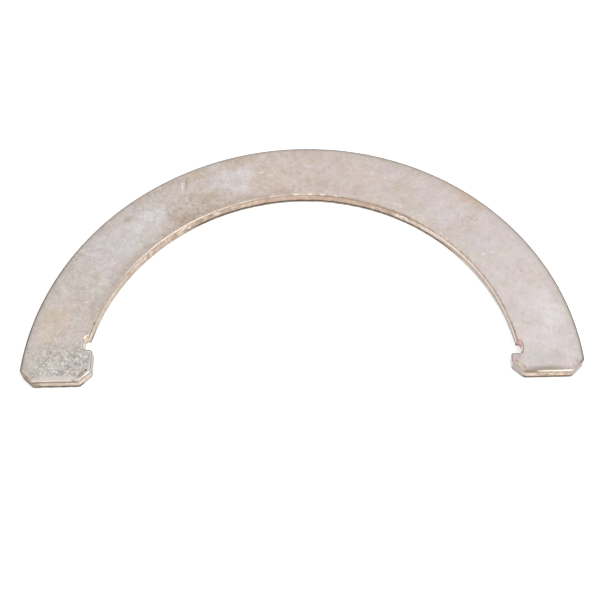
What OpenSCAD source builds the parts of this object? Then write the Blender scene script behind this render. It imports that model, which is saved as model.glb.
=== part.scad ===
// Half thrust washer: a flat half ring blanked from strip, with a hooked lug at each end.
// The lugs reach inside the bore and lock the half in its recess. They differ in length, so that it
// goes in one way round only. A relief behind each lug clears the corner of the recess.
// The washer lies on its lower face. Z is the axis of the bore, X is the parting line between the two
// halves, and Y points up the arc.

/* [Ring] */
// Diameter of the bore
bore_d = 134; // [110:1:170]
// Radial width of the flat face, from the bore to the outside
face_w = 19; // [15:0.5:28]
// Thickness of the strip
thickness = 4.25; // [3:0.05:6]

/* [End lugs] */
// How far the lugs reach inside the bore, measured on the parting line
lug_reach = 3; // [1.5:0.1:4]
// Length of the left lug, up from the parting line
left_lug_l = 11; // [8:0.1:14]
// Length of the right lug, up from the parting line
right_lug_l = 6.6; // [6:0.1:14]
// Corner taken off the tip of the left lug
left_tip = 0.6; // [0.2:0.1:1.2]
// Corner taken off the tip of the right lug
right_tip = 0.4; // [0.2:0.1:1.2]

/* [Reliefs] */
// Length of the relief behind each lug, up from the lug's back edge
relief_l = 4.6; // [3.5:0.1:6]
// How deep the relief cuts into the ring, past the bore
relief_depth = 1.25; // [0.8:0.05:1.6]
// Radius in the corners of the relief
relief_r = 1.2; // [0.8:0.05:1.5]

/* [Corners] */
// Corner taken off the outside of each end
outer_corner = 4; // [2:0.1:6]
// Corner taken off the inside of each lug, at the parting line
inner_corner = 3.6; // [2:0.1:4.5]

/* [Edges] */
// Width of the rolled edge round the upper face
roll_w = 0.6; // [0.3:0.05:0.8]
// Depth of the rolled edge round the upper face
roll_h = 0.4; // [0.2:0.05:0.8]
// Size of the broken edge round the lower face
break_w = 0.15; // [0.1:0.05:0.5]
// How much deeper the edges are rolled and broken along the corners taken off
corner_extra = 0.1; // [0.05:0.05:0.2]

/* [Hidden] */
$fn = 180;

bore_r = bore_d / 2;
outer_r = bore_r + face_w;
// Inner edge of the lugs, parallel to Y
lug_x = bore_r - lug_reach;
// How far the lugs are buried in the ring
root_r = bore_r + face_w / 2;
// How far a trim runs past each end of its edge
past = 2 * roll_w;

// Section of a cutter that leaves a finished edge at x = edge_x. It takes away what lies between
// from_x and there, its upper flare leaves the rolled edge and its lower flare the broken one. Both
// can be made deeper by the size extra.
module trim_section(from_x, edge_x, extra = 0) {
    low = break_w + extra;
    rise = roll_h + extra;
    run = roll_w + extra;
    polygon([
        [from_x, -low],
        [edge_x + 2 * low, -low],
        [edge_x, low],
        [edge_x, thickness - rise],
        [edge_x + 2 * run, thickness + rise],
        [from_x, thickness + rise]
    ]);
}

// Straight trim, centred on the point at. The angle inward, in degrees from X, points from the edge
// to the metal that stays.
module trim(at, inward, length, depth, extra = 0) {
    translate([at.x, at.y, 0])
        rotate([0, 0, inward])
            rotate([90, 0, 0])
                linear_extrude(height = length, center = true)
                    trim_section(-depth, 0, extra);
}

// Trim that takes off a corner whose two legs are as long as size.
module corner_trim(at, inward, size) {
    trim(at, inward, size * sqrt(2) + 2 * past, size + past, corner_extra);
}

// Full ring, with its finished edges at the bore and at the outside.
module ring() {
    rotate_extrude()
        polygon([
            [bore_r + break_w, 0],
            [outer_r - break_w, 0],
            [outer_r, break_w],
            [outer_r, thickness - roll_h],
            [outer_r - roll_w, thickness],
            [bore_r + roll_w, thickness],
            [bore_r, thickness - roll_h],
            [bore_r, break_w]
        ]);
}

// Blank of the right-hand lug, buried in the ring and larger than the lug on the three sides that
// are trimmed.
module lug_blank(lug_l) {
    translate([lug_x - past, -past, 0])
        cube([root_r - lug_x + past, lug_l + 2 * past, thickness]);
}

// Trims of the right-hand end: its outer corner, then the inner corner, edge and tip of its lug.
module end_trims(lug_l, tip) {
    corner_trim([outer_r - outer_corner / 2, outer_corner / 2], 135, outer_corner);
    corner_trim([lug_x + inner_corner / 2, inner_corner / 2], 45, inner_corner);
    trim([lug_x, lug_l / 2], 0, lug_l + 4 * past, 2 * past);
    corner_trim([lug_x + tip / 2, lug_l - tip / 2], 315, tip);
}

// Relief of the right-hand end: the lug's back edge, the straight back in the ring, and the two round
// corners at the ends of that back.
module relief(lug_l) {
    low_y = lug_l + relief_r;
    high_y = lug_l + relief_l - relief_r;
    mid_y = lug_l + relief_l / 2;
    back_x = sqrt(bore_r * bore_r - mid_y * mid_y) + relief_depth;
    corner_x = back_x - relief_r;
    back_edge_l = corner_x - lug_x + 2 * past;
    trim([corner_x - back_edge_l / 2, lug_l], 270, back_edge_l, relief_l / 2);
    trim([back_x, mid_y], 0, high_y - low_y, 2 * relief_r);
    for (corner_y = [low_y, high_y])
        translate([corner_x, corner_y, 0])
            rotate_extrude()
                trim_section(0, relief_r);
}

module on_the_left() {
    mirror([1, 0, 0])
        children();
}

module thrust_washer() {
    color("#c6beb8")
        difference() {
            union() {
                ring();
                lug_blank(right_lug_l);
                on_the_left() lug_blank(left_lug_l);
            }
            trim([0, 0], 90, 3 * outer_r, 2 * outer_r);
            end_trims(right_lug_l, right_tip);
            relief(right_lug_l);
            on_the_left() {
                end_trims(left_lug_l, left_tip);
                relief(left_lug_l);
            }
        }
}

thrust_washer();
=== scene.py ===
"""Studio picture of a half thrust washer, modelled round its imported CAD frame."""

import logging
import math
from dataclasses import dataclass, field
from enum import Enum
from typing import Any, Callable

import bpy
from mathutils import Matrix, Vector


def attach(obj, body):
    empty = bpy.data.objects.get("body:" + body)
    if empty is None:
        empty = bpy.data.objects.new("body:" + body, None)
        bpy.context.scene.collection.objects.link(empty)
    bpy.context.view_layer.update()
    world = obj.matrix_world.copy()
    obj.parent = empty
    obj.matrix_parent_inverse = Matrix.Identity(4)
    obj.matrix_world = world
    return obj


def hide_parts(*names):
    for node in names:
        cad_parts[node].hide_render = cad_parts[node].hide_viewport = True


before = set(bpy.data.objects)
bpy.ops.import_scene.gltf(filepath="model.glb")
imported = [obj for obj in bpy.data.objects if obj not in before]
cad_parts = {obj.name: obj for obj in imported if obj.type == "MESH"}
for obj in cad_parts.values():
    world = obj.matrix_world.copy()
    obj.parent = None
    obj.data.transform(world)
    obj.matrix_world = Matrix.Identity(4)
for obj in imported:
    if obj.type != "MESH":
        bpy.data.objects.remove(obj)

LOG = logging.getLogger("thrust_washer")
NODE = "thrust_washer"
MM = 0.001
# The photograph is square, so its width is the camera's whole sensor.
PHOTO_PX = 600
SENSOR_MM = 36.0
# Nearly all of a noise lies between these two values, round its middle.
NOISE_RANGE = (0.25, 0.75)
NOISE_MIDDLE = 0.5
NOISE_ROUGHNESS = 0.6
NOISE_DISTORTION = 0.4

Colour = tuple[float, float, float, float]
Socket = bpy.types.NodeSocket


class End(Enum):
    """The two ends of the half ring. The value is the side of the Y axis that the end lies on."""

    LEFT = -1
    RIGHT = 1


class Zone(Enum):
    """The three surfaces that the press leaves on the washer. The value is the material slot."""

    FACE = 0
    WALL = 1
    ROLL = 2


class Press(Enum):
    """What a tool does to the blank. The value is the name of the boolean operation."""

    JOIN = "UNION"
    CUT = "DIFFERENCE"


class Part(Enum):
    """The parts of a mesh that can be selected. The value is their name in the mesh data."""

    VERT = "vertices"
    EDGE = "edges"
    FACE = "polygons"


def linear(hex_colour: str) -> Colour:
    """Turns an sRGB hex colour into linear light.

    Args:
        hex_colour: Six hex digits after a hash, such as "#c6beb8".

    Returns:
        Red, green, blue and a full alpha.
    """
    shares = [int(hex_colour[i : i + 2], 16) / 255 for i in (1, 3, 5)]
    light = [s / 12.92 if s <= 0.04045 else ((s + 0.055) / 1.055) ** 2.4 for s in shares]
    return (*light, 1.0)


def add_node(
    tree: bpy.types.NodeTree, kind: str, inputs: dict[str | int, Any] | None = None, **settings: Any
) -> bpy.types.Node:
    """Adds a node with its settings and links.

    Args:
        tree: The node tree that gets the node.
        kind: The node's type name, without ShaderNode at its front.
        inputs: Values and links by socket name or number. An output socket is linked, the rest is set.
        settings: Properties of the node itself.

    Returns:
        The new node.
    """
    made = tree.nodes.new("ShaderNode" + kind)
    for name, value in settings.items():
        setattr(made, name, value)
    for name, value in (inputs or {}).items():
        if isinstance(value, Socket):
            tree.links.new(value, made.inputs[name])
        else:
            made.inputs[name].default_value = value
    return made


def select_only(obj: bpy.types.Object) -> None:
    """Makes one object the only selected one, and the active one."""
    bpy.ops.object.select_all(action="DESELECT")
    obj.select_set(True)
    bpy.context.view_layer.objects.active = obj


def open_edit(obj: bpy.types.Object, part: Part, chosen: Callable[[Any], bool]) -> None:
    """Opens an object in edit mode with some of its points, edges or faces selected.

    Args:
        obj: The mesh object.
        part: What is selected.
        chosen: Says of a point, an edge or a face whether it is selected.
    """
    select_only(obj)
    bpy.ops.object.mode_set(mode="EDIT")
    bpy.ops.mesh.select_mode(type=part.name)
    bpy.ops.mesh.select_all(action="DESELECT")
    bpy.ops.object.mode_set(mode="OBJECT")
    for item in getattr(obj.data, part.value):
        if chosen(item):
            item.select = True
    bpy.ops.object.mode_set(mode="EDIT")


def close_edit() -> None:
    """Goes back from edit mode to object mode."""
    bpy.ops.object.mode_set(mode="OBJECT")


@dataclass
class HalfWasher:
    """The blanked half ring with its two hooked lugs. All sizes are in metres, as in the solid."""

    blank: bpy.types.Object = field(init=False)
    bore_d: float = 134 * MM
    face_w: float = 19 * MM
    thickness: float = 4.25 * MM
    lug_reach: float = 3 * MM
    lug_l: dict[End, float] = field(default_factory=lambda: {End.LEFT: 11 * MM, End.RIGHT: 6.6 * MM})
    tip: dict[End, float] = field(default_factory=lambda: {End.LEFT: 0.6 * MM, End.RIGHT: 0.4 * MM})
    relief_l: float = 4.6 * MM
    relief_depth: float = 1.25 * MM
    relief_r: float = 1.2 * MM
    outer_corner: float = 4 * MM
    inner_corner: float = 3.6 * MM
    roll_w: float = 0.6 * MM
    roll_h: float = 0.4 * MM
    break_w: float = 0.15 * MM
    # The press shears the upper part of each wall clean and tears the rest, which leans in a little.
    tear_z: float = 1.5 * MM
    tear_step: float = 0.12 * MM
    tear_lean: float = 0.07 * MM
    tear_rough: float = 0.1 * MM
    tear_uniform: float = 0.5
    tear_seed: int = 11
    # How far wear of the die has eased the ends of each corner that is taken off
    ease: float = 0.16 * MM
    # The visual model lies this far inside the solid's round walls.
    skin: float = 0.03 * MM
    # Flat rim round each face, which keeps the face's shading flat
    rim_w: float = 0.06 * MM
    shortest_side: float = 0.05 * MM
    # Heights of the untrimmed blank, of the tool that cuts its bore and of the blocks, in thicknesses
    blank_h: int = 4
    bore_tool_h: int = 5
    block_h: int = 6
    ring_sides: int = 720
    corner_sides: int = 8
    roll_bands: int = 8
    break_bands: int = 3
    # A face is level if its normal's share along Z is larger than this.
    level: float = 0.999
    # Faces that differ by less than this angle become one.
    flat_deg: float = 0.05
    smooth_deg: float = 20

    @property
    def bore_r(self) -> float:
        """Radius of the bore."""
        return self.bore_d / 2

    @property
    def outer_r(self) -> float:
        """Radius of the outside."""
        return self.bore_r + self.face_w

    @property
    def lug_x(self) -> float:
        """How far from the Y axis the inner edge of a lug lies."""
        return self.bore_r - self.lug_reach

    @property
    def wall_low(self) -> float:
        """Height at which the walls begin, above the broken lower edge."""
        return self.break_w

    @property
    def wall_high(self) -> float:
        """Height at which the walls end, below the rolled upper edge."""
        return self.thickness - self.roll_h

    def build(self) -> bpy.types.Object:
        """Models the washer.

        Returns:
            The finished mesh object, at the origin.
        """
        self.cut_ring()
        for end in End:
            self.add_lug(end)
            self.cut_corners(end)
            self.ease_corners(end)
            self.cut_relief(end)
        self.trim()
        self.tear_walls()
        self.roll_upper_edge()
        self.break_lower_edge()
        return self.blank

    def combine(self, tool: bpy.types.Object, press: Press) -> None:
        """Joins a tool to the blank or cuts it out of it, and removes the tool.

        Args:
            tool: The object that is joined or cut out.
            press: What is done.
        """
        select_only(self.blank)
        stroke = self.blank.modifiers.new("press", "BOOLEAN")
        stroke.operation = press.value
        stroke.object = tool
        stroke.solver = "EXACT"
        bpy.ops.object.modifier_apply(modifier=stroke.name)
        bpy.data.objects.remove(tool, do_unlink=True)

    def cut_ring(self) -> None:
        """Makes the blank: the whole ring with upright walls, higher than the washer."""
        made = []
        for radius, height in ((self.outer_r - self.skin, self.blank_h), (self.bore_r, self.bore_tool_h)):
            bpy.ops.object.select_all(action="DESELECT")
            bpy.ops.mesh.primitive_cylinder_add(
                vertices=self.ring_sides, radius=radius, depth=height * self.thickness, location=(0, 0, 0)
            )
            made.append(bpy.context.object)
        self.blank, bore = made
        self.blank.name = "tin_flashed_half_washer"
        self.combine(bore, Press.CUT)

    def block(
        self, end: End, x0: float, y0: float, x1: float, y1: float, turn_deg: float = 0
    ) -> bpy.types.Object:
        """Adds an upright block at one end, higher than the ring.

        Args:
            end: The end that it is for. The left one is a mirror image.
            x0: Distance of its near side from the Y axis.
            y0: Height of its lower side above the parting line.
            x1: Distance of its far side from the Y axis.
            y1: Height of its upper side above the parting line.
            turn_deg: Turn about its own upright axis.

        Returns:
            The block.
        """
        bpy.ops.object.select_all(action="DESELECT")
        bpy.ops.mesh.primitive_cube_add(
            size=1,
            location=(end.value * (x0 + x1) / 2, (y0 + y1) / 2, 0),
            rotation=(0, 0, end.value * math.radians(turn_deg)),
            scale=(x1 - x0, y1 - y0, self.block_h * self.thickness),
        )
        made = bpy.context.object
        bpy.ops.object.transform_apply(location=True, rotation=True, scale=True)
        return made

    def add_lug(self, end: End) -> None:
        """Adds the blank of a lug, buried in the ring.

        Args:
            end: The end that it is on.
        """
        root_x = self.bore_r + self.face_w / 2
        lug = self.block(end, self.lug_x, -self.lug_l[end], root_x, self.lug_l[end] + self.relief_l / 2)
        self.combine(lug, Press.JOIN)

    def cut_corners(self, end: End) -> None:
        """Takes off the outer corner of an end and the inner corner and tip of its lug.

        Args:
            end: The end that it is done on.
        """
        corners = (
            (self.outer_r, 0, self.outer_corner),
            (self.lug_x, 0, self.inner_corner),
            (self.lug_x, self.lug_l[end], self.tip[end]),
        )
        for x, y, leg in corners:
            # A square on its point, centred on the corner, has a side on the new edge.
            half = leg / math.sqrt(2)
            self.combine(self.block(end, x - half, y - half, x + half, y + half, 45), Press.CUT)

    def ease_corners(self, end: End) -> None:
        """Eases the ends of the outer corner and of the lug's inner corner with narrow facets.

        Args:
            end: The end that it is done on.
        """
        foot = self.outer_r - self.outer_corner
        rise = (math.sqrt(2 * self.outer_r**2 - foot**2) - foot) / 2
        # Where each facet lies, and the way it faces, in degrees from X
        facets = (
            (foot + rise, rise, -22.5),
            (foot, 0, -67.5),
            (self.lug_x + self.inner_corner, 0, -112.5),
            (self.lug_x, self.inner_corner, -157.5),
        )
        half = self.outer_corner / 2
        for x, y, facing in facets:
            x += (half - self.ease) * math.cos(math.radians(facing))
            y += (half - self.ease) * math.sin(math.radians(facing))
            self.combine(self.block(end, x - half, y - half, x + half, y + half, facing), Press.CUT)

    def cut_relief(self, end: End) -> None:
        """Cuts the relief behind a lug, which has two round corners at its back.

        Args:
            end: The end that it is done on.
        """
        low = self.lug_l[end]
        middle = low + self.relief_l / 2
        back_x = math.sqrt(self.bore_r**2 - middle**2) + self.relief_depth
        cutter = self.block(end, self.lug_x - self.relief_l, low, back_x, low + self.relief_l)

        def at_back(edge: bpy.types.MeshEdge) -> bool:
            """Says whether an edge stands upright at the back of the relief."""
            a, b = (cutter.data.vertices[i].co for i in edge.vertices)
            return abs(a.x - b.x) + abs(a.y - b.y) < MM and abs(a.x) > back_x - MM

        open_edit(cutter, Part.EDGE, at_back)
        bpy.ops.mesh.bevel(offset=self.relief_r, segments=self.corner_sides, affect="EDGES")
        close_edit()
        self.combine(cutter, Press.CUT)

    def trim(self) -> None:
        """Trims the blank to the half above the parting line and to the height of its walls."""
        open_edit(self.blank, Part.FACE, lambda face: True)
        cuts = (
            ((0, 0, 0), (0, -1, 0)),
            ((0, 0, self.wall_low), (0, 0, -1)),
            ((0, 0, self.wall_high), (0, 0, 1)),
        )
        for at, outward in cuts:
            bpy.ops.mesh.bisect(plane_co=at, plane_no=outward, clear_outer=True, use_fill=True)
            bpy.ops.mesh.select_all(action="SELECT")
        bpy.ops.mesh.remove_doubles(threshold=self.shortest_side)
        bpy.ops.mesh.dissolve_limited(angle_limit=math.radians(self.flat_deg))
        bpy.ops.mesh.select_all(action="SELECT")
        bpy.ops.mesh.normals_make_consistent(inside=False)
        close_edit()

    def tear_walls(self) -> None:
        """Splits the walls into the sheared upper part and the torn lower part, and roughens the line."""
        for z in (self.tear_z + self.tear_step, self.tear_z):
            open_edit(self.blank, Part.FACE, lambda face: True)
            bpy.ops.mesh.bisect(plane_co=(0, 0, z), plane_no=(0, 0, 1))
            close_edit()
        near = self.tear_step / 4
        open_edit(self.blank, Part.VERT, lambda point: abs(point.co.z - self.tear_z) < near)
        bpy.ops.transform.shrink_fatten(value=-self.tear_rough)
        bpy.ops.transform.vertex_random(
            offset=self.tear_rough, uniform=self.tear_uniform, normal=0.0, seed=self.tear_seed
        )
        close_edit()
        open_edit(self.blank, Part.VERT, lambda point: abs(point.co.z - self.wall_low) < near)
        bpy.ops.transform.shrink_fatten(value=-self.tear_lean)
        bpy.ops.transform.resize(value=(1, 1, 0), center_override=(0, 0, self.wall_low))
        close_edit()

    def draw_in(self, up: int, width: float, height: float) -> None:
        """Draws one band of a finished edge in from the rim of a face.

        Args:
            up: 1 for the upper face, -1 for the lower one.
            width: Width of the band, seen from above.
            height: How far the face moves out.
        """
        open_edit(
            self.blank,
            Part.FACE,
            lambda face: up * face.normal.z > self.level and face.area > self.face_w**2,
        )
        bpy.ops.mesh.inset(thickness=width, depth=height, use_even_offset=True)
        # A side of the outline that the band has used up is closed, so that it can't cross over.
        bpy.ops.mesh.remove_doubles(threshold=self.shortest_side)
        close_edit()

    def roll_upper_edge(self) -> None:
        """Rolls the edge round the upper face, as the die draws it down."""
        turns = [math.pi / 2 * step / self.roll_bands for step in range(self.roll_bands + 1)]
        for before, after in zip(turns, turns[1:]):
            width = self.roll_w * (math.cos(before) - math.cos(after))
            self.draw_in(1, width, self.roll_h * (math.sin(after) - math.sin(before)))
        self.draw_in(1, self.rim_w, 0)

    def break_lower_edge(self) -> None:
        """Breaks the edge round the lower face."""
        for _ in range(self.break_bands):
            self.draw_in(-1, self.break_w / self.break_bands, self.break_w / self.break_bands)
        self.draw_in(-1, self.rim_w, 0)

    def dress(self, finishes: dict[Zone, bpy.types.Material]) -> None:
        """Gives each surface its finish and smooths the shading.

        Args:
            finishes: The material of each zone.
        """
        for zone in Zone:
            self.blank.data.materials.append(finishes[zone])
        for zone in Zone:
            open_edit(self.blank, Part.FACE, lambda face: self.zone_of(face) is zone)
            self.blank.active_material_index = zone.value
            bpy.ops.object.material_slot_assign()
            close_edit()
        select_only(self.blank)
        bpy.ops.object.shade_smooth_by_angle(angle=math.radians(self.smooth_deg))

    def zone_of(self, face: bpy.types.MeshPolygon) -> Zone:
        """Says which surface a face belongs to.

        Args:
            face: A face of the finished mesh.

        Returns:
            Its zone.
        """
        if abs(face.normal.z) > self.level:
            return Zone.FACE
        return Zone.ROLL if face.center.z > self.wall_high else Zone.WALL


@dataclass(frozen=True)
class Patch:
    """An oval patch of one colour on the washer. Places and sizes are in millimetres."""

    at: tuple[float, float]
    reach: tuple[float, float]
    turn_deg: float
    colour: str
    share: float
    # The patch is whole out to this part of its reach, and fades from there to its rim.
    whole: float = 0.25
    # Height of its middle, and how far it reaches above and below that
    height: float = 4.25
    depth: float = 2.0


@dataclass(frozen=True)
class Clouding:
    """A cloudy layer of one colour. The noise between low and high makes the edge of its clouds."""

    size_mm: float
    low: float
    high: float
    colour: str
    share: float
    detail: float = 4.0


@dataclass(frozen=True)
class Stretch:
    """A stretch of the face with a ground tone and cloudy marks of its own."""

    ground: Patch
    marks: tuple[Clouding, ...]


@dataclass
class Coat:
    """A material while its layers are laid. Its patterns are measured in millimetres."""

    name: str
    # The colour so far, which each new layer covers in part
    colour: Socket | Colour = linear("#ffffff")
    material: bpy.types.Material = field(init=False)
    tree: bpy.types.NodeTree = field(init=False)
    # Place on the object, in millimetres
    mm: Socket = field(init=False)

    def __post_init__(self) -> None:
        """Starts the material."""
        self.material = bpy.data.materials.new(self.name)
        self.material.use_nodes = True
        self.tree = self.material.node_tree
        self.tree.nodes.clear()
        place = add_node(self.tree, "TexCoord").outputs["Object"]
        mm = add_node(self.tree, "VectorMath", {0: place, "Scale": 1 / MM}, operation="SCALE")
        self.mm = mm.outputs["Vector"]

    def stain(self, colour: str, value: Socket, empty: float, full: float, share: Socket | float) -> None:
        """Lays a colour over the one so far, by a value that says where.

        Args:
            colour: The colour that is laid.
            value: The value, such as a height or a noise.
            empty: Value at which none of the colour shows.
            full: Value at which the whole share of it shows.
            share: How much of the colour shows at the most.
        """
        shown = add_node(
            self.tree,
            "MapRange",
            {"Value": value, "From Min": empty, "From Max": full, "To Max": share},
            interpolation_type="SMOOTHSTEP",
        )
        mixed = add_node(
            self.tree,
            "Mix",
            {0: shown.outputs["Result"], 6: self.colour, 7: linear(colour)},
            data_type="RGBA",
        )
        self.colour = mixed.outputs[2]

    def noise(self, place: Socket, size_mm: float, detail: float = 3) -> Socket:
        """Draws a noise of a given size that is stretched to go from about 0 to about 1.

        Args:
            place: Place in millimetres.
            size_mm: Size of a cloud.
            detail: How many finer layers lie on the clouds.

        Returns:
            The noise.
        """
        clouds = add_node(
            self.tree,
            "TexNoise",
            {
                "Vector": place,
                "Scale": 1 / size_mm,
                "Detail": detail,
                "Roughness": NOISE_ROUGHNESS,
                "Distortion": NOISE_DISTORTION,
            },
        )
        low, high = NOISE_RANGE
        stretched = add_node(
            self.tree, "MapRange", {"Value": clouds.outputs["Fac"], "From Min": low, "From Max": high}
        )
        return stretched.outputs["Result"]

    def lay_clouding(self, layer: Clouding) -> None:
        """Lays a cloudy layer over the colour so far."""
        clouds = self.noise(self.mm, layer.size_mm, layer.detail)
        self.stain(layer.colour, clouds, layer.low, layer.high, layer.share)

    def lay_patch(self, patch: Patch, place: Socket) -> None:
        """Lays an oval patch over the colour so far, at a place in millimetres."""
        self.stain(patch.colour, self.spread(patch, place), 1.0, patch.whole, patch.share)

    def spread(self, patch: Patch, place: Socket) -> Socket:
        """Measures how far a place is from the middle of a patch.

        Args:
            patch: The patch.
            place: Place in millimetres.

        Returns:
            The distance, which is 1 at the patch's rim.
        """
        local = add_node(
            self.tree,
            "Mapping",
            {
                "Vector": place,
                "Location": (*patch.at, patch.height),
                "Rotation": (0, 0, math.radians(patch.turn_deg)),
                "Scale": (*patch.reach, patch.depth),
            },
            vector_type="TEXTURE",
        )
        away = add_node(self.tree, "VectorMath", {0: local.outputs["Vector"]}, operation="LENGTH")
        return away.outputs["Value"]

    def radius(self) -> Socket:
        """Measures how far a place is from the bore's axis.

        Returns:
            The distance in millimetres.
        """
        flat = add_node(self.tree, "Mapping", {"Vector": self.mm, "Scale": (1, 1, 0)})
        away = add_node(self.tree, "VectorMath", {0: flat.outputs["Vector"]}, operation="LENGTH")
        return away.outputs["Value"]

    def close(self, grain: Socket, roughness: tuple[float, float], relief_mm: float) -> bpy.types.Material:
        """Ends the material with a metal surface.

        Args:
            grain: Pattern of its grain, from 0 to 1.
            roughness: Roughness where the grain is 0 and where it is 1.
            relief_mm: Height of the grain.

        Returns:
            The finished material.
        """
        least, most = roughness
        rough = add_node(self.tree, "MapRange", {"Value": grain, "To Min": least, "To Max": most})
        bump = add_node(
            self.tree, "Bump", {"Strength": 1.0, "Distance": relief_mm * MM, "Height": grain}
        )
        surface = add_node(
            self.tree,
            "BsdfPrincipled",
            {
                "Metallic": 1.0,
                "Base Color": self.colour,
                "Roughness": rough.outputs["Result"],
                "Normal": bump.outputs["Normal"],
            },
        )
        add_node(self.tree, "OutputMaterial", {"Surface": surface.outputs["BSDF"]})
        return self.material


@dataclass(frozen=True)
class FlashedFace:
    """Cold-rolled steel strip with a thin dull flash of tin, handled and stored loose.

    The eye sees a satin grey metal, clouded lavender and white where the flash is thick and tan where it
    is thin, with a fine frosty grain, thin brown runs, and scuffs on the left end.
    """

    washer: HalfWasher
    name: str = "tin_flash_on_rolled_strip"
    # Tone of the flash along the strip, by place on the X axis
    tones: tuple[tuple[float, str], ...] = (
        (-82, "#d0c8c0"),
        (-52, "#c8c1bc"),
        (-20, "#c5b6aa"),
        (8, "#c8b9b0"),
        (36, "#c4bab5"),
        (60, "#cac1be"),
        (82, "#d0c8c7"),
    )
    # Large patches, whose outlines wander
    blooms: tuple[Patch, ...] = (
        Patch((-22.5, 73.5), (10, 7.5), 20, "#d5d0d6", 0.7, 0.45),
        Patch((-50, 58), (12, 7.5), 38, "#dddce3", 0.85),
        Patch((-60, 47), (12, 8), 52, "#cccdd5", 0.6),
        Patch((-37, 60), (9, 3), 32, "#a08b74", 0.5, 0.5),
        Patch((-20, 80.5), (6, 2.8), 12, "#bda595", 0.6, 0.5),
        Patch((-35, 76), (6, 3), 26, "#b9a27d", 0.55, 0.4),
        Patch((-28, 66.5), (9, 3.6), 22, "#b5a189", 0.5, 0.4),
        Patch((-13, 72.5), (6, 3.6), 8, "#bda78d", 0.5, 0.4),
        Patch((-4, 76), (13, 7), 0, "#c8b2a3", 0.65),
        Patch((7, 70), (4, 3), 0, "#b0947f", 0.6, 0.5),
        Patch((-5, 69), (5, 2.5), 5, "#b59b89", 0.55, 0.5),
        Patch((22, 74), (9, 6), -20, "#d2c3bc", 0.5),
        Patch((33, 68), (7, 7), -30, "#c4b8b2", 0.5),
        Patch((53.4, 65.4), (10, 2.6), -41, "#cfae90", 0.7),
        Patch((50, 58), (7, 5), -40, "#d6cfd3", 0.6),
        Patch((57, 46), (6, 4), -50, "#c4c4c4", 0.5),
        Patch((77, 19), (8, 6), 70, "#e0dcdf", 0.55),
        Patch((73, 9), (8, 5), 0, "#d6cfd1", 0.4),
        Patch((-77, 20), (12, 7), 70, "#d3bfab", 0.7),
        Patch((-70, 36), (7, 5), 60, "#c3bcb0", 0.4),
        Patch((-68, 7.5), (5, 6), 0, "#a7aaaa", 0.6, 0.4),
        Patch((64.8, 5), (3.2, 3.4), 0, "#b8a0a1", 0.9, 0.4),
        Patch((74, 4.5), (12, 5), 0, "#c1bcba", 0.65),
        Patch((-56, 60), (2.4, 1.5), 40, "#9c9189", 0.55),
        Patch((-65, 26.5), (1.6, 2.8), -20, "#9a8f8a", 0.5),
    )
    # Drying stains, mottles, and the grain of the strip under the flash
    cloudings: tuple[Clouding, ...] = (
        Clouding(12, 0.5, 0.62, "#dcd5d8", 0.22),
        Clouding(9, 0.54, 0.66, "#b7a392", 0.17),
        Clouding(7, 0.5, 0.56, "#d3bfcb", 0.18),
        Clouding(6, 0.54, 0.6, "#c4c3a8", 0.18),
        Clouding(3.2, 0.52, 0.58, "#d1bdc8", 0.11),
        Clouding(2.8, 0.54, 0.6, "#c3c2a8", 0.11),
        Clouding(5, 0.53, 0.62, "#b5a59a", 0.1),
        Clouding(3.4, 0.55, 0.64, "#e2dbd8", 0.12),
        Clouding(2.2, 0.6, 0.7, "#a08b7b", 0.1, 3),
        Clouding(1.0, 0.3, 0.8, "#8f8c8a", 0.05, 3),
        Clouding(0.6, 0.6, 0.85, "#f1ece8", 0.1, 2),
        Clouding(1.3, 0.8, 0.9, "#f3efec", 0.25, 2),
        Clouding(1.2, 0.82, 0.92, "#857a72", 0.2, 2),
    )
    # The frostier left half, brown stains left of the crown, and the rubbed marks of the left end
    stretches: tuple[Stretch, ...] = (
        Stretch(
            Patch((-42, 50), (66, 36), 40, "#c8c1bc", 0.0, 0.7),
            (
                Clouding(4.4, 0.55, 0.6, "#b3a092", 0.16),
                Clouding(2.4, 0.57, 0.62, "#b09c8d", 0.13),
                Clouding(1.9, 0.58, 0.63, "#e8e1de", 0.15),
                Clouding(0.8, 0.5, 0.8, "#f1ece8", 0.14, 2),
                Clouding(0.7, 0.5, 0.8, "#857a72", 0.13, 2),
            ),
        ),
        Stretch(
            Patch((-36, 62), (11, 8), 32, "#c3b4a4", 0.25, 0.3),
            (Clouding(5.0, 0.46, 0.6, "#a48e7a", 0.34), Clouding(1.4, 0.56, 0.68, "#86715f", 0.36, 3)),
        ),
        Stretch(
            Patch((-72.5, 6), (18, 12), 8, "#bbb5b0", 0.4, 0.25),
            (
                Clouding(4.6, 0.46, 0.6, "#938e89", 0.3),
                Clouding(1.2, 0.5, 0.64, "#85807a", 0.42, 5),
                Clouding(0.8, 0.54, 0.68, "#f2ede8", 0.5),
            ),
        ),
    )
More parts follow.
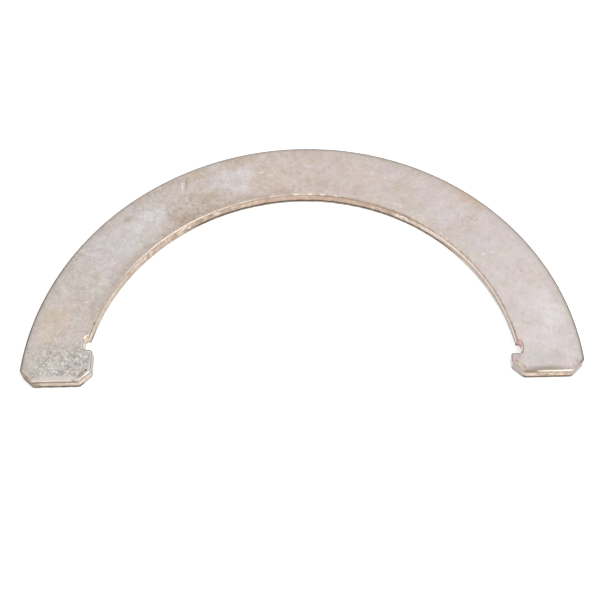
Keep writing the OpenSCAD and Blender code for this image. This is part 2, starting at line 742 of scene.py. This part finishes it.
    # Short scratches, bare spots, and the margins along the two ends
    nicks: tuple[Patch, ...] = (
        *(
            Patch((x, y), (length, width), turn_deg, "#f3ece6", 0.75)
            for x, y, length, width, turn_deg in (
                (31.2, 62.4, 1.1, 0.25, -8),
                (33.0, 61.4, 0.7, 0.22, -20),
                (24, 75.2, 0.35, 0.35, 0),
                (-67.5, 4.7, 1.6, 0.18, 18),
                (-71, 3.6, 1.2, 0.15, 25),
                (-78, 8.5, 1.0, 0.18, 60),
                (-73, 9.5, 0.8, 0.15, 110),
                (45.5, 50.5, 0.8, 0.25, -45),
                (-52, 63, 0.8, 0.2, 40),
                (61, 43, 0.75, 0.25, 30),
            )
        ),
        Patch((-12.3, 76.5), (0.9, 0.45), 10, "#f3e3d3", 0.75),
        Patch((-38.6, 71.4), (2.4, 0.5), 95, "#ebe5e1", 0.65),
        Patch((74, 0.4), (11, 2.4), 0, "#93877e", 0.8),
        Patch((-74, 0.8), (10, 1.7), 0, "#d6cec9", 0.8, 0.4),
        Patch((66.8, 2.6), (3.2, 1.1), -45, "#c4b29c", 0.55),
        Patch((65.4, 3.8), (0.9, 0.35), -45, "#85705f", 0.7),
        Patch((67.6, 1.8), (1.1, 0.35), -45, "#85705f", 0.7),
        Patch((83.6, 3.4), (0.9, 0.4), 45, "#93827a", 0.6),
        Patch((82.2, 1.9), (0.7, 0.35), 45, "#93827a", 0.6),
        Patch((-37.3, 72.8), (0.4, 2.8), 4, "#857261", 0.55),
        Patch((-65.5, 3.9), (0.6, 0.45), 30, "#463b34", 0.85),
        Patch((-67, 2.3), (2.2, 0.7), 45, "#7d7470", 0.6),
    )
    brown: str = "#86705f"
    edge_brown: str = "#857668"
    stained: Patch = Patch((-42, 50), (50, 38), 35, "#94806f", 0.42, 0.5)
    # Width and strength of the two dark margins along the outer edge, a wide faint one and a narrow one
    edge_margins: tuple[tuple[float, float], ...] = ((4.5, 0.16), (1.5, 0.5))
    bore_margin_mm: float = 4.5
    # How far the patches wander from a plain oval, and the size and fineness of the wandering
    wander_mm: float = 4.0
    patch_mm: float = 8.0
    wander_detail: float = 5.0
    # The runs follow the contours of this noise.
    vein_mm: float = 8.0
    vein_detail: float = 4.0
    vein_roughness: float = 0.55
    vein_distortion: float = 1.2
    # A run is whole this near to its contour, and ends that far from it.
    vein_width: tuple[float, float] = (0.004, 0.045)
    vein_share: float = 0.22
    # The runs come and go between these two values of a wider noise.
    vein_places: tuple[float, float] = (0.4, 0.65)
    places_scale: float = 2
    places_detail: float = 2
    grain_mm: float = 1.1
    relief_mm: float = 0.014
    roughness: tuple[float, float] = (0.36, 0.5)

    def make(self) -> bpy.types.Material:
        """Makes the material.

        Returns:
            The material.
        """
        coat = Coat(self.name)
        astray = self.wander(coat)
        self.tone_strip(coat, astray)
        for bloom in self.blooms:
            coat.lay_patch(bloom, astray)
        self.draw_veins(coat)
        for layer in self.cloudings:
            coat.lay_clouding(layer)
        self.darken_margins(coat)
        for stretch in self.stretches:
            self.lay_stretch(coat, stretch, astray)
        for nick in self.nicks:
            coat.lay_patch(nick, coat.mm)
        return coat.close(coat.noise(coat.mm, self.grain_mm), self.roughness, self.relief_mm)

    def wander(self, coat: Coat) -> Socket:
        """Shifts the places on the face, so that the patches get ragged outlines.

        Args:
            coat: The material so far.

        Returns:
            The shifted place in millimetres.
        """
        noise = add_node(
            coat.tree,
            "TexNoise",
            {"Vector": coat.mm, "Scale": 1 / self.patch_mm, "Detail": self.wander_detail},
        )
        centred = add_node(
            coat.tree,
            "VectorMath",
            {0: noise.outputs["Color"], 1: (NOISE_MIDDLE, NOISE_MIDDLE, NOISE_MIDDLE)},
            operation="SUBTRACT",
        )
        swing = 2 * self.wander_mm
        shifted = add_node(
            coat.tree,
            "VectorMath",
            {0: centred.outputs["Vector"], 1: (swing, swing, 0), 2: coat.mm},
            operation="MULTIPLY_ADD",
        )
        return shifted.outputs["Vector"]

    def tone_strip(self, coat: Coat, place: Socket) -> None:
        """Gives the slow change of tone along the strip.

        Args:
            coat: The material so far.
            place: Place in millimetres.
        """
        reach = self.washer.outer_r / MM
        x = add_node(coat.tree, "SeparateXYZ", {"Vector": place}).outputs["X"]
        along = add_node(coat.tree, "MapRange", {"Value": x, "From Min": -reach, "From Max": reach})
        shade = add_node(coat.tree, "ValToRGB", {"Fac": along.outputs["Result"]})
        stops = shade.color_ramp.elements
        while len(stops) < len(self.tones):
            stops.new(0.5)
        for stop, (x_mm, tone) in zip(stops, self.tones):
            stop.position = (x_mm + reach) / (2 * reach)
            stop.color = linear(tone)
        coat.colour = shade.outputs["Color"]

    def draw_veins(self, coat: Coat) -> None:
        """Draws the thin brown runs that the drying bath left, in some places only.

        Args:
            coat: The material so far.
        """
        contours = add_node(
            coat.tree,
            "TexNoise",
            {
                "Vector": coat.mm,
                "Scale": 1 / self.vein_mm,
                "Detail": self.vein_detail,
                "Roughness": self.vein_roughness,
                "Distortion": self.vein_distortion,
            },
        )
        off = add_node(
            coat.tree, "Math", {0: contours.outputs["Fac"], 1: NOISE_MIDDLE}, operation="SUBTRACT"
        )
        away = add_node(coat.tree, "Math", {0: off.outputs["Value"]}, operation="ABSOLUTE")
        bare, covered = self.vein_places
        some = add_node(
            coat.tree,
            "MapRange",
            {
                "Value": coat.noise(coat.mm, self.places_scale * self.vein_mm, self.places_detail),
                "From Min": bare,
                "From Max": covered,
                "To Max": self.vein_share,
            },
        )
        whole, gone = self.vein_width
        coat.stain(self.brown, away.outputs["Value"], gone, whole, some.outputs["Result"])

    def lay_stretch(self, coat: Coat, stretch: Stretch, place: Socket) -> None:
        """Lays the ground tone and the marks of one stretch over the colour so far.

        Args:
            coat: The material so far.
            stretch: The stretch.
            place: Place in millimetres, for the outline of the stretch.
        """
        coat.lay_patch(stretch.ground, place)
        ground = coat.colour
        for layer in stretch.marks:
            coat.lay_clouding(layer)
        where = add_node(
            coat.tree,
            "MapRange",
            {
                "Value": coat.spread(stretch.ground, place),
                "From Min": 1.0,
                "From Max": stretch.ground.whole,
            },
            interpolation_type="SMOOTHSTEP",
        )
        mixed = add_node(
            coat.tree, "Mix", {0: where.outputs["Result"], 6: ground, 7: coat.colour}, data_type="RGBA"
        )
        coat.colour = mixed.outputs[2]

    def darken_margins(self, coat: Coat) -> None:
        """Darkens the margin along the outer edge, and stains the one along the bore on the left half.

        Args:
            coat: The material so far.
        """
        away = coat.radius()
        edge = self.washer.outer_r / MM
        for width_mm, share in self.edge_margins:
            coat.stain(self.edge_brown, away, edge - width_mm, edge, share)
        bore = self.washer.bore_r / MM
        where = add_node(
            coat.tree,
            "MapRange",
            {
                "Value": coat.spread(self.stained, coat.mm),
                "From Min": 1.0,
                "From Max": self.stained.whole,
                "To Max": self.stained.share,
            },
        )
        coat.stain(self.stained.colour, away, bore + self.bore_margin_mm, bore, where.outputs["Result"])


@dataclass(frozen=True)
class PressedEdge:
    """Edge of the same strip where the press has worked it, tinned after blanking."""

    washer: HalfWasher
    name: str
    base: str
    # Clouds, the wide changes of tone along the edge, and the small patches on top
    cloudings: tuple[Clouding, ...]
    tints: tuple[Patch, ...]
    patches: tuple[Patch, ...]
    roughness: tuple[float, float]
    # Tone round the outside, how far in from there it ends, and where it is whole
    outside: str
    outside_share: float
    outside_mm: tuple[float, float]
    streak: str = "#8c7563"
    streak_mm: float = 0.6
    # The streaks come in between these two values of their noise.
    streak_noise: tuple[float, float] = (0.2, 1.0)
    streak_share: float = 0.35
    # The stroke of the press stretches the streaks along Z.
    stretch: float = 0.12
    relief_mm: float = 0.02

    def make(self) -> bpy.types.Material:
        """Makes the material.

        Returns:
            The material.
        """
        coat = Coat(self.name, linear(self.base))
        stroke = add_node(coat.tree, "Mapping", {"Vector": coat.mm, "Scale": (1, 1, self.stretch)})
        grain = coat.noise(stroke.outputs["Vector"], self.streak_mm)
        coat.stain(self.streak, grain, *self.streak_noise, self.streak_share)
        for layer in self.cloudings:
            coat.lay_clouding(layer)
        for tint in self.tints:
            coat.lay_patch(tint, coat.mm)
        self.mark(coat)
        edge = self.washer.outer_r / MM
        gone, whole = self.outside_mm
        coat.stain(self.outside, coat.radius(), edge - gone, edge - whole, self.outside_share)
        for patch in self.patches:
            coat.lay_patch(patch, coat.mm)
        return coat.close(grain, self.roughness, self.relief_mm)

    def mark(self, coat: Coat) -> None:
        """Adds the marks that run all along the edge. A plain edge has none."""


@dataclass(frozen=True)
class ShearedWall(PressedEdge):
    """Wall that the press sheared above and tore below.

    The eye sees a warm metal, golden at the crown and paler at the ends, streaked along the stroke of
    the press. It has a brown line where the shear began and a duller torn part low down, darkened further
    by painted shade. Its foot is dark with painted shade where the wall meets the floor, and below it lies a
    pale toe, a painted reflection of the floor. The outer wall is plainer.
    """

    name: str = "tin_flash_on_sheared_wall"
    base: str = "#bfac9e"
    tints: tuple[Patch, ...] = (
        Patch((5, 67), (36, 16), 0, "#b89f8e", 0.7, 0.3, 2.2, 6),
        Patch((-62, 28), (22, 32), 0, "#bfb6ac", 0.5, 0.5, 2.2, 6),
        Patch((62, 26), (24, 34), 0, "#cfc2ba", 0.75, 0.5, 2.2, 6),
        Patch((46, 48), (16, 14), -45, "#dccdc3", 0.75, 0.4, 2.2, 6),
    )
    cloudings: tuple[Clouding, ...] = (
        Clouding(5, 0.5, 0.66, "#d8c9ba", 0.6),
        Clouding(2.2, 0.52, 0.64, "#eadfd2", 0.55),
        Clouding(6.5, 0.56, 0.76, "#ae957c", 0.55),
        Clouding(1.8, 0.56, 0.68, "#8a7363", 0.5),
    )
    patches: tuple[Patch, ...] = (
        Patch((-64, 6), (2.5, 6), 0, "#ada8a3", 0.8, 0.6, 2.2, 6),
        Patch((-84, 2), (3, 3.5), 0, "#3d332a", 0.9, 0.6, 2.2, 6),
        Patch((-83.6, 2.2), (3, 3.5), 0, "#b59a7e", 0.65, 0.6, 3.7, 0.8),
        Patch((65, 1.8), (3, 3), 0, "#a69c99", 0.85, 0.7, 2.2, 6),
        Patch((63.8, 5.2), (1.5, 2.4), 0, "#d3c8c9", 0.9, 0.6, 2.2, 6),
        Patch((84, 2), (3, 3.5), 0, "#9f9693", 0.85, 0.7, 2.2, 6),
        # Painted reflection of the white floor in the right relief
        Patch((68.2, 8.6), (1.8, 2.4), 0, "#d8cdcc", 0.85, 0.6, 2.2, 6),
        Patch((-67.5, 13.2), (1.8, 2.6), 0, "#d4cec8", 0.85, 0.6, 2.2, 6),
        Patch((67, 11), (1.6, 1.2), 0, "#d0b3a8", 0.85, 0.4, 3, 4),
        # Painted highlight at the top of the left relief
        Patch((-66, 15.4), (1.6, 1.3), 0, "#dccbb6", 0.8, 0.4, 3, 4),
        Patch((-65.2, 2), (2.4, 2.4), 0, "#d8cdc2", 0.6, 0.6, 1.8, 1.7),
        Patch((-80.8, 0), (1.6, 1), 0, "#857a5f", 0.7, 0.6, 2.2, 6),
        # Painted shade along the top of the wall on the crown and right half, which face the dim side
        Patch((25, 63), (34, 9), -22, "#8c7058", 0.6, 0.6, 3.9, 0.4),
        # On the right arc: a low pale band of painted floor reflection, a dark band of painted shade above
        # it, and a pale band higher up
        Patch((57, 33), (26, 7), -58, "#b3a59d", 0.65, 0.6, 0.3, 0.7),
        Patch((56, 36), (28, 8), -57, "#8f8078", 0.7, 0.6, 2.05, 0.65),
        Patch((56, 36), (28, 8), -57, "#d8cac0", 0.7, 0.6, 3.55, 0.7),
        Patch((-74, 0), (9, 1), 0, "#cbbcb2", 0.5, 0.6, 2.7, 1),
        Patch((74, 0), (9, 1), 0, "#c6b9ad", 0.5, 0.6, 2.9, 1),
        Patch((-74, 0), (11, 1), 0, "#685a4e", 0.85, 0.7, 3.75, 0.4),
        Patch((-66, 2), (2.5, 2.5), 0, "#5c5048", 0.7, 0.7, 3.8, 0.35),
        Patch((74, 0), (10, 1), 0, "#94806c", 0.6, 0.7, 3.65, 0.35),
        Patch((69.7, 0), (1.1, 1), 0, "#e3d3b6", 0.6, 0.4, 2.2, 0.9),
        Patch((71.6, 0), (0.8, 1), 0, "#7d6a55", 0.65, 0.4, 2.8, 0.7),
        Patch((74.4, 0), (0.7, 1), 0, "#7d6a55", 0.65, 0.4, 2.4, 0.8),
        Patch((75.7, 0), (0.8, 1), 0, "#e3d3b6", 0.6, 0.4, 2.7, 0.7),
        Patch((78.5, 0), (1.2, 1), 0, "#e6d6ba", 0.65, 0.4, 2.2, 0.9),
        Patch((80.2, 0), (0.7, 1), 0, "#85725c", 0.6, 0.4, 2.7, 0.7),
    )
    roughness: tuple[float, float] = (0.3, 0.5)
    # Stretches of the two arcs where light falls on the foot, so that the painted shade of the torn part and
    # foot gives way there to a lighter painted shade
    lit_arcs: tuple[Patch, ...] = (
        Patch((-52, 40), (30, 9), 52, "#a3968b", 0.45, 0.7, 2.2, 8),
        Patch((59, 31), (24, 9), -60, "#8f827b", 0.1, 0.5, 2.2, 8),
    )
    # The torn part's own duller metal, darkened further as painted shade, and the painted shade where the
    # foot meets the floor
    torn_metal_and_shade: str = "#6b5b4f"
    foot: str = "#3d332b"
    torn_and_shade_share: float = 0.8
    # The lowest part of the wall, up to this height, painted pale as a reflection of the floor
    toe_floor_reflection: str = "#d6d0ca"
    toe_mm: float = 0.85
    toe_share: float = 0.8
    # Half the height over which the torn part and the toe fade into what lies above them
    fade_mm: float = 0.3
    # Depth and strength of the line where the shear began
    line_mm: float = 0.5
    line_share: float = 0.55
    # Length and height of the waves in all these marks
    wave_mm: float = 2.0
    wave_height_mm: float = 0.5
    outside: str = "#b3a396"
    outside_share: float = 0.7
    outside_mm: tuple[float, float] = (2.5, 1.0)

    def mark(self, coat: Coat) -> None:
        """Darkens the torn part low on the wall, partly as its duller metal and partly as painted shade,
        paints shade on its foot, and darkens the line high up where the shear began.

        Below the foot the toe is painted pale as a reflection of the floor. On the lit stretches of the arcs
        the painted shade of the torn part and foot gives way to a lighter painted shade.

        Args:
            coat: The material so far.
        """
        lift = self.wave_height_mm / 2
        line = self.washer.tear_z / MM + lift
        begin = self.washer.wall_high / MM + lift
        height = add_node(coat.tree, "SeparateXYZ", {"Vector": coat.mm}).outputs["Z"]
        wave = coat.noise(coat.mm, self.wave_mm)
        uneven = add_node(
            coat.tree, "Math", {0: wave, 1: self.wave_height_mm, 2: height}, operation="MULTIPLY_ADD"
        ).outputs["Value"]
        torn_and_shade_share: float | Socket = self.torn_and_shade_share
        lit_foot_shade: list[tuple[str, float, Socket]] = []
        # Where light falls on the arcs, the painted shade of the torn part and foot gives way to a lighter
        # painted shade.
        for lit_arcs in self.lit_arcs:
            rim = {"Value": coat.spread(lit_arcs, coat.mm), "From Min": 1.0, "From Max": lit_arcs.whole}
            torn_and_shade_share, lit_arc_share = (
                add_node(coat.tree, "MapRange", rim | ends).outputs["Result"]
                for ends in ({"To Min": torn_and_shade_share, "To Max": 0.0}, {"To Min": 0.0, "To Max": lit_arcs.share})
            )
            lit_foot_shade.append((lit_arcs.colour, line, lit_arc_share))
        coat.stain(self.streak, uneven, begin - self.line_mm, begin, self.line_share)
        # Painted shade and duller metal on the torn part, painted shade on the foot, a painted floor
        # reflection on the toe, and lighter painted shade on the lit arcs
        for tone, top, share in (
            (self.torn_metal_and_shade, line + self.fade_mm, torn_and_shade_share),
            (self.foot, line, torn_and_shade_share),
            (self.toe_floor_reflection, self.toe_mm + lift, self.toe_share),
            *lit_foot_shade,
        ):
            coat.stain(tone, uneven, top, top - 2 * self.fade_mm, share)


@dataclass(frozen=True)
class RolledEdge(PressedEdge):
    """Edge that the die drew down round the upper face, rubbed by handling.

    The eye sees a thin bright line that turns cream on the left half and on the ends, broken by brown
    dashes elsewhere, and a plain grey line round the outside. Painted highlights lie on the ends, at the
    top of the left relief and in short dashes at the crown. Painted shade lies on the right half, and a
    painted reflection of the floor lies in the right relief.
    """

    name: str = "tin_flash_on_rolled_edge"
    base: str = "#c3b6ab"
    tints: tuple[Patch, ...] = ()
    cloudings: tuple[Clouding, ...] = (
        Clouding(4, 0.46, 0.7, "#cfc5bb", 0.6),
        Clouding(1.5, 0.52, 0.68, "#7a6352", 0.3, 2),
    )
    patches: tuple[Patch, ...] = (
        Patch((-45, 50), (34, 34), 40, "#b6a99d", 0.8, 0.7, 4.2, 4),
        # Painted highlight on the rolled edge of the left end
        Patch((-74, 0), (11, 1.6), 0, "#cfc5bb", 0.9, 0.6, 4.1, 2),
        Patch((-74, 0), (11, 0.4), 0, "#85766a", 0.6, 0.7, 3.9, 0.2),
        # Painted highlight on the rolled edge of the right end
        Patch((77, 0), (6, 1.6), 0, "#ddd2c2", 0.8, 0.7, 4.1, 0.35),
        Patch((69.6, 0.3), (2.4, 1), 0, "#85725f", 0.8, 0.6, 4.1, 1),
        Patch((64.5, 2.5), (3.5, 5), 0, "#b5a6a2", 0.8, 0.6, 4.2, 2),
        Patch((84, 2), (3, 3.5), 0, "#948985", 0.85, 0.7, 4.2, 2),
        Patch((-64, 6), (3, 6), 0, "#c4c0bd", 0.9, 0.6, 4.2, 2),
        Patch((74, 0.7), (12, 0.4), 0, "#8a7d72", 0.6, 0.5, 4.3, 0.3),
        # Painted reflection of the white floor in the right relief
        Patch((68.4, 8.7), (1.8, 2.4), 0, "#cdc2bf", 0.75, 0.6, 4.2, 2),
        Patch((-67.6, 13.2), (1.8, 2.6), 0, "#cfc8c1", 0.75, 0.6, 4.2, 2),
        Patch((67, 11), (1.6, 1.2), 0, "#d0b3a8", 0.85, 0.4, 3, 4),
        # Painted highlight at the top of the left relief
        Patch((-66, 15.4), (1.6, 1.3), 0, "#e4d5c2", 0.8, 0.4, 3, 4),
        Patch((-84, 2), (3, 3.5), 0, "#b59b80", 0.6, 0.6, 4.2, 2),
        Patch((-66.6, 2.6), (0.9, 0.7), 45, "#4b4038", 0.85, 0.5, 4.2, 2),
        Patch((-69, 0.3), (0.9, 0.5), 0, "#75665a", 0.6, 0.3, 4.2, 1),
        # Painted shade on the rolled edge of the crown and right half, which face the dim side
        Patch((25, 63), (34, 9), -22, "#8f7b6a", 0.5, 0.6, 4.0, 0.3),
        # Short painted highlights along the rolled edge at the crown
        *(
            Patch((x, y), (length, 2), 0, "#f2eae4", 0.45, 0.5, 4.2, 0.3)
            for x, y, length in ((-1, 67.5, 1.3), (3.5, 67.5, 0.9), (7.5, 67.5, 1.4), (12, 67, 0.8))
        ),
    )
    roughness: tuple[float, float] = (0.24, 0.4)
    outside: str = "#a09b97"
    outside_share: float = 0.8
    outside_mm: tuple[float, float] = (1.4, 0.9)


@dataclass(frozen=True)
class WhiteCard:
    """Matt white card on a light table.

    The eye sees a plain white sheet with faint clouds of fibre. It is lit from below too, so that the
    shadows on it stay faint.
    """

    name: str = "matt_white_card"
    base: str = "#f4f4f4"
    fibres: Clouding = Clouding(4, 0.4, 0.7, "#ecebe8", 0.5)
    roughness: float = 0.9
    glow: float = 0.38

    def make(self) -> bpy.types.Material:
        """Makes the material.

        Returns:
            The material.
        """
        coat = Coat(self.name, linear(self.base))
        coat.lay_clouding(self.fibres)
        surface = add_node(
            coat.tree,
            "BsdfPrincipled",
            {
                "Base Color": coat.colour,
                "Roughness": self.roughness,
                "Emission Color": coat.colour,
                "Emission Strength": self.glow,
            },
        )
        add_node(coat.tree, "OutputMaterial", {"Surface": surface.outputs["BSDF"]})
        return coat.material


@dataclass(frozen=True)
class Softbox:
    """A square soft light that faces the washer."""

    name: str
    azimuth_deg: float
    height_deg: float
    distance: float
    side: float
    power: float
    colour: str

    def add(self, aim: Vector) -> None:
        """Adds the light.

        Args:
            aim: The place that it faces.
        """
        around, up = math.radians(self.azimuth_deg), math.radians(self.height_deg)
        away = Vector((math.cos(up) * math.cos(around), math.cos(up) * math.sin(around), math.sin(up)))
        bpy.ops.object.select_all(action="DESELECT")
        bpy.ops.object.light_add(type="AREA", location=aim + away * self.distance)
        lamp = bpy.context.object
        lamp.name = self.name
        lamp.rotation_euler = (-away).to_track_quat("-Z", "Y").to_euler()
        lamp.data.shape = "SQUARE"
        lamp.data.size = self.side
        lamp.data.energy = self.power
        lamp.data.color = linear(self.colour)[:3]


@dataclass
class Studio:
    """The pale floor, the soft lights and the camera."""

    floor_side: float = 5.0
    room_colour: str = "#bcbcbc"
    room_light: float = 0.35
    # The place that the lights face
    aim: tuple[float, float, float] = (0, 0.04, 0)
    # Where the camera stands, in the washer's frame, and how it is turned
    camera_place: tuple[float, float, float] = (12.8 * MM, -189.2 * MM, 366.6 * MM)
    camera_yaw_deg: float = -3.38
    camera_pitch_deg: float = 59.14
    camera_roll_deg: float = -4.22
    focal_px: float = 1351.7
    clip_start: float = 10 * MM
    lights: tuple[Softbox, ...] = (
        Softbox("overhead_softbox", 78, 62, 0.7, 0.9, 2.7, "#ffffff"),
        Softbox("key_softbox", -32, 42, 0.75, 0.45, 2.9, "#fffefc"),
        Softbox("front_softbox", 265, 58, 0.95, 1.1, 4.4, "#ffffff"),
        Softbox("side_softbox", 190, 45, 0.8, 0.6, 1.0, "#ffffff"),
    )

    def build(self) -> None:
        """Sets up the floor, the room, the lights and the camera."""
        self.lay_floor()
        self.light_room()
        self.stand_camera()

    def lay_floor(self) -> None:
        """Lays the sheet of white card that the washer lies on."""
        bpy.ops.object.select_all(action="DESELECT")
        bpy.ops.mesh.primitive_plane_add(size=self.floor_side, location=(0, 0, 0))
        floor = bpy.context.object
        floor.name = "studio_floor"
        floor.data.materials.append(WhiteCard().make())

    def light_room(self) -> None:
        """Lights the room: a dim surround and the softboxes."""
        world = bpy.data.worlds.new("studio_room")
        world.use_nodes = True
        tree = world.node_tree
        tree.nodes.clear()
        surround = add_node(
            tree, "Background", {"Color": linear(self.room_colour), "Strength": self.room_light}
        )
        add_node(tree, "OutputWorld", {"Surface": surround.outputs["Background"]})
        bpy.context.scene.world = world
        for light in self.lights:
            light.add(Vector(self.aim))

    def stand_camera(self) -> None:
        """Stands the camera where the photograph was taken from."""
        yaw, pitch, roll = (
            math.radians(turn) for turn in (self.camera_yaw_deg, self.camera_pitch_deg, self.camera_roll_deg)
        )
        ahead = Vector((math.sin(yaw) * math.cos(pitch), math.cos(yaw) * math.cos(pitch), -math.sin(pitch)))
        level = Vector((math.cos(yaw), -math.sin(yaw), 0))
        upright = level.cross(ahead)
        right = math.cos(roll) * level + math.sin(roll) * upright
        up = math.cos(roll) * upright - math.sin(roll) * level
        turn = Matrix((right, up, -ahead)).transposed()
        bpy.ops.object.select_all(action="DESELECT")
        bpy.ops.object.camera_add(location=self.camera_place, rotation=turn.to_euler())
        camera = bpy.context.object
        camera.data.sensor_width = SENSOR_MM
        camera.data.lens = self.focal_px / PHOTO_PX * SENSOR_MM
        camera.data.clip_start = self.clip_start
        scene = bpy.context.scene
        scene.camera = camera
        scene.view_settings.view_transform = "Standard"


def main() -> None:
    """Builds the washer and the studio, in order."""
    logging.basicConfig(level=logging.INFO, format="%(message)s")
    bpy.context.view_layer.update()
    washer = HalfWasher()
    piece = washer.build()
    finishes = {
        Zone.FACE: FlashedFace(washer).make(),
        Zone.WALL: ShearedWall(washer).make(),
        Zone.ROLL: RolledEdge(washer).make(),
    }
    washer.dress(finishes)
    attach(piece, "root")
    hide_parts(NODE)
    LOG.info("%s: %d faces", piece.name, len(piece.data.polygons))
    Studio().build()
    LOG.info("studio: floor, %d lights and camera", len(Studio.lights))


if __name__ == "__main__":
    main()
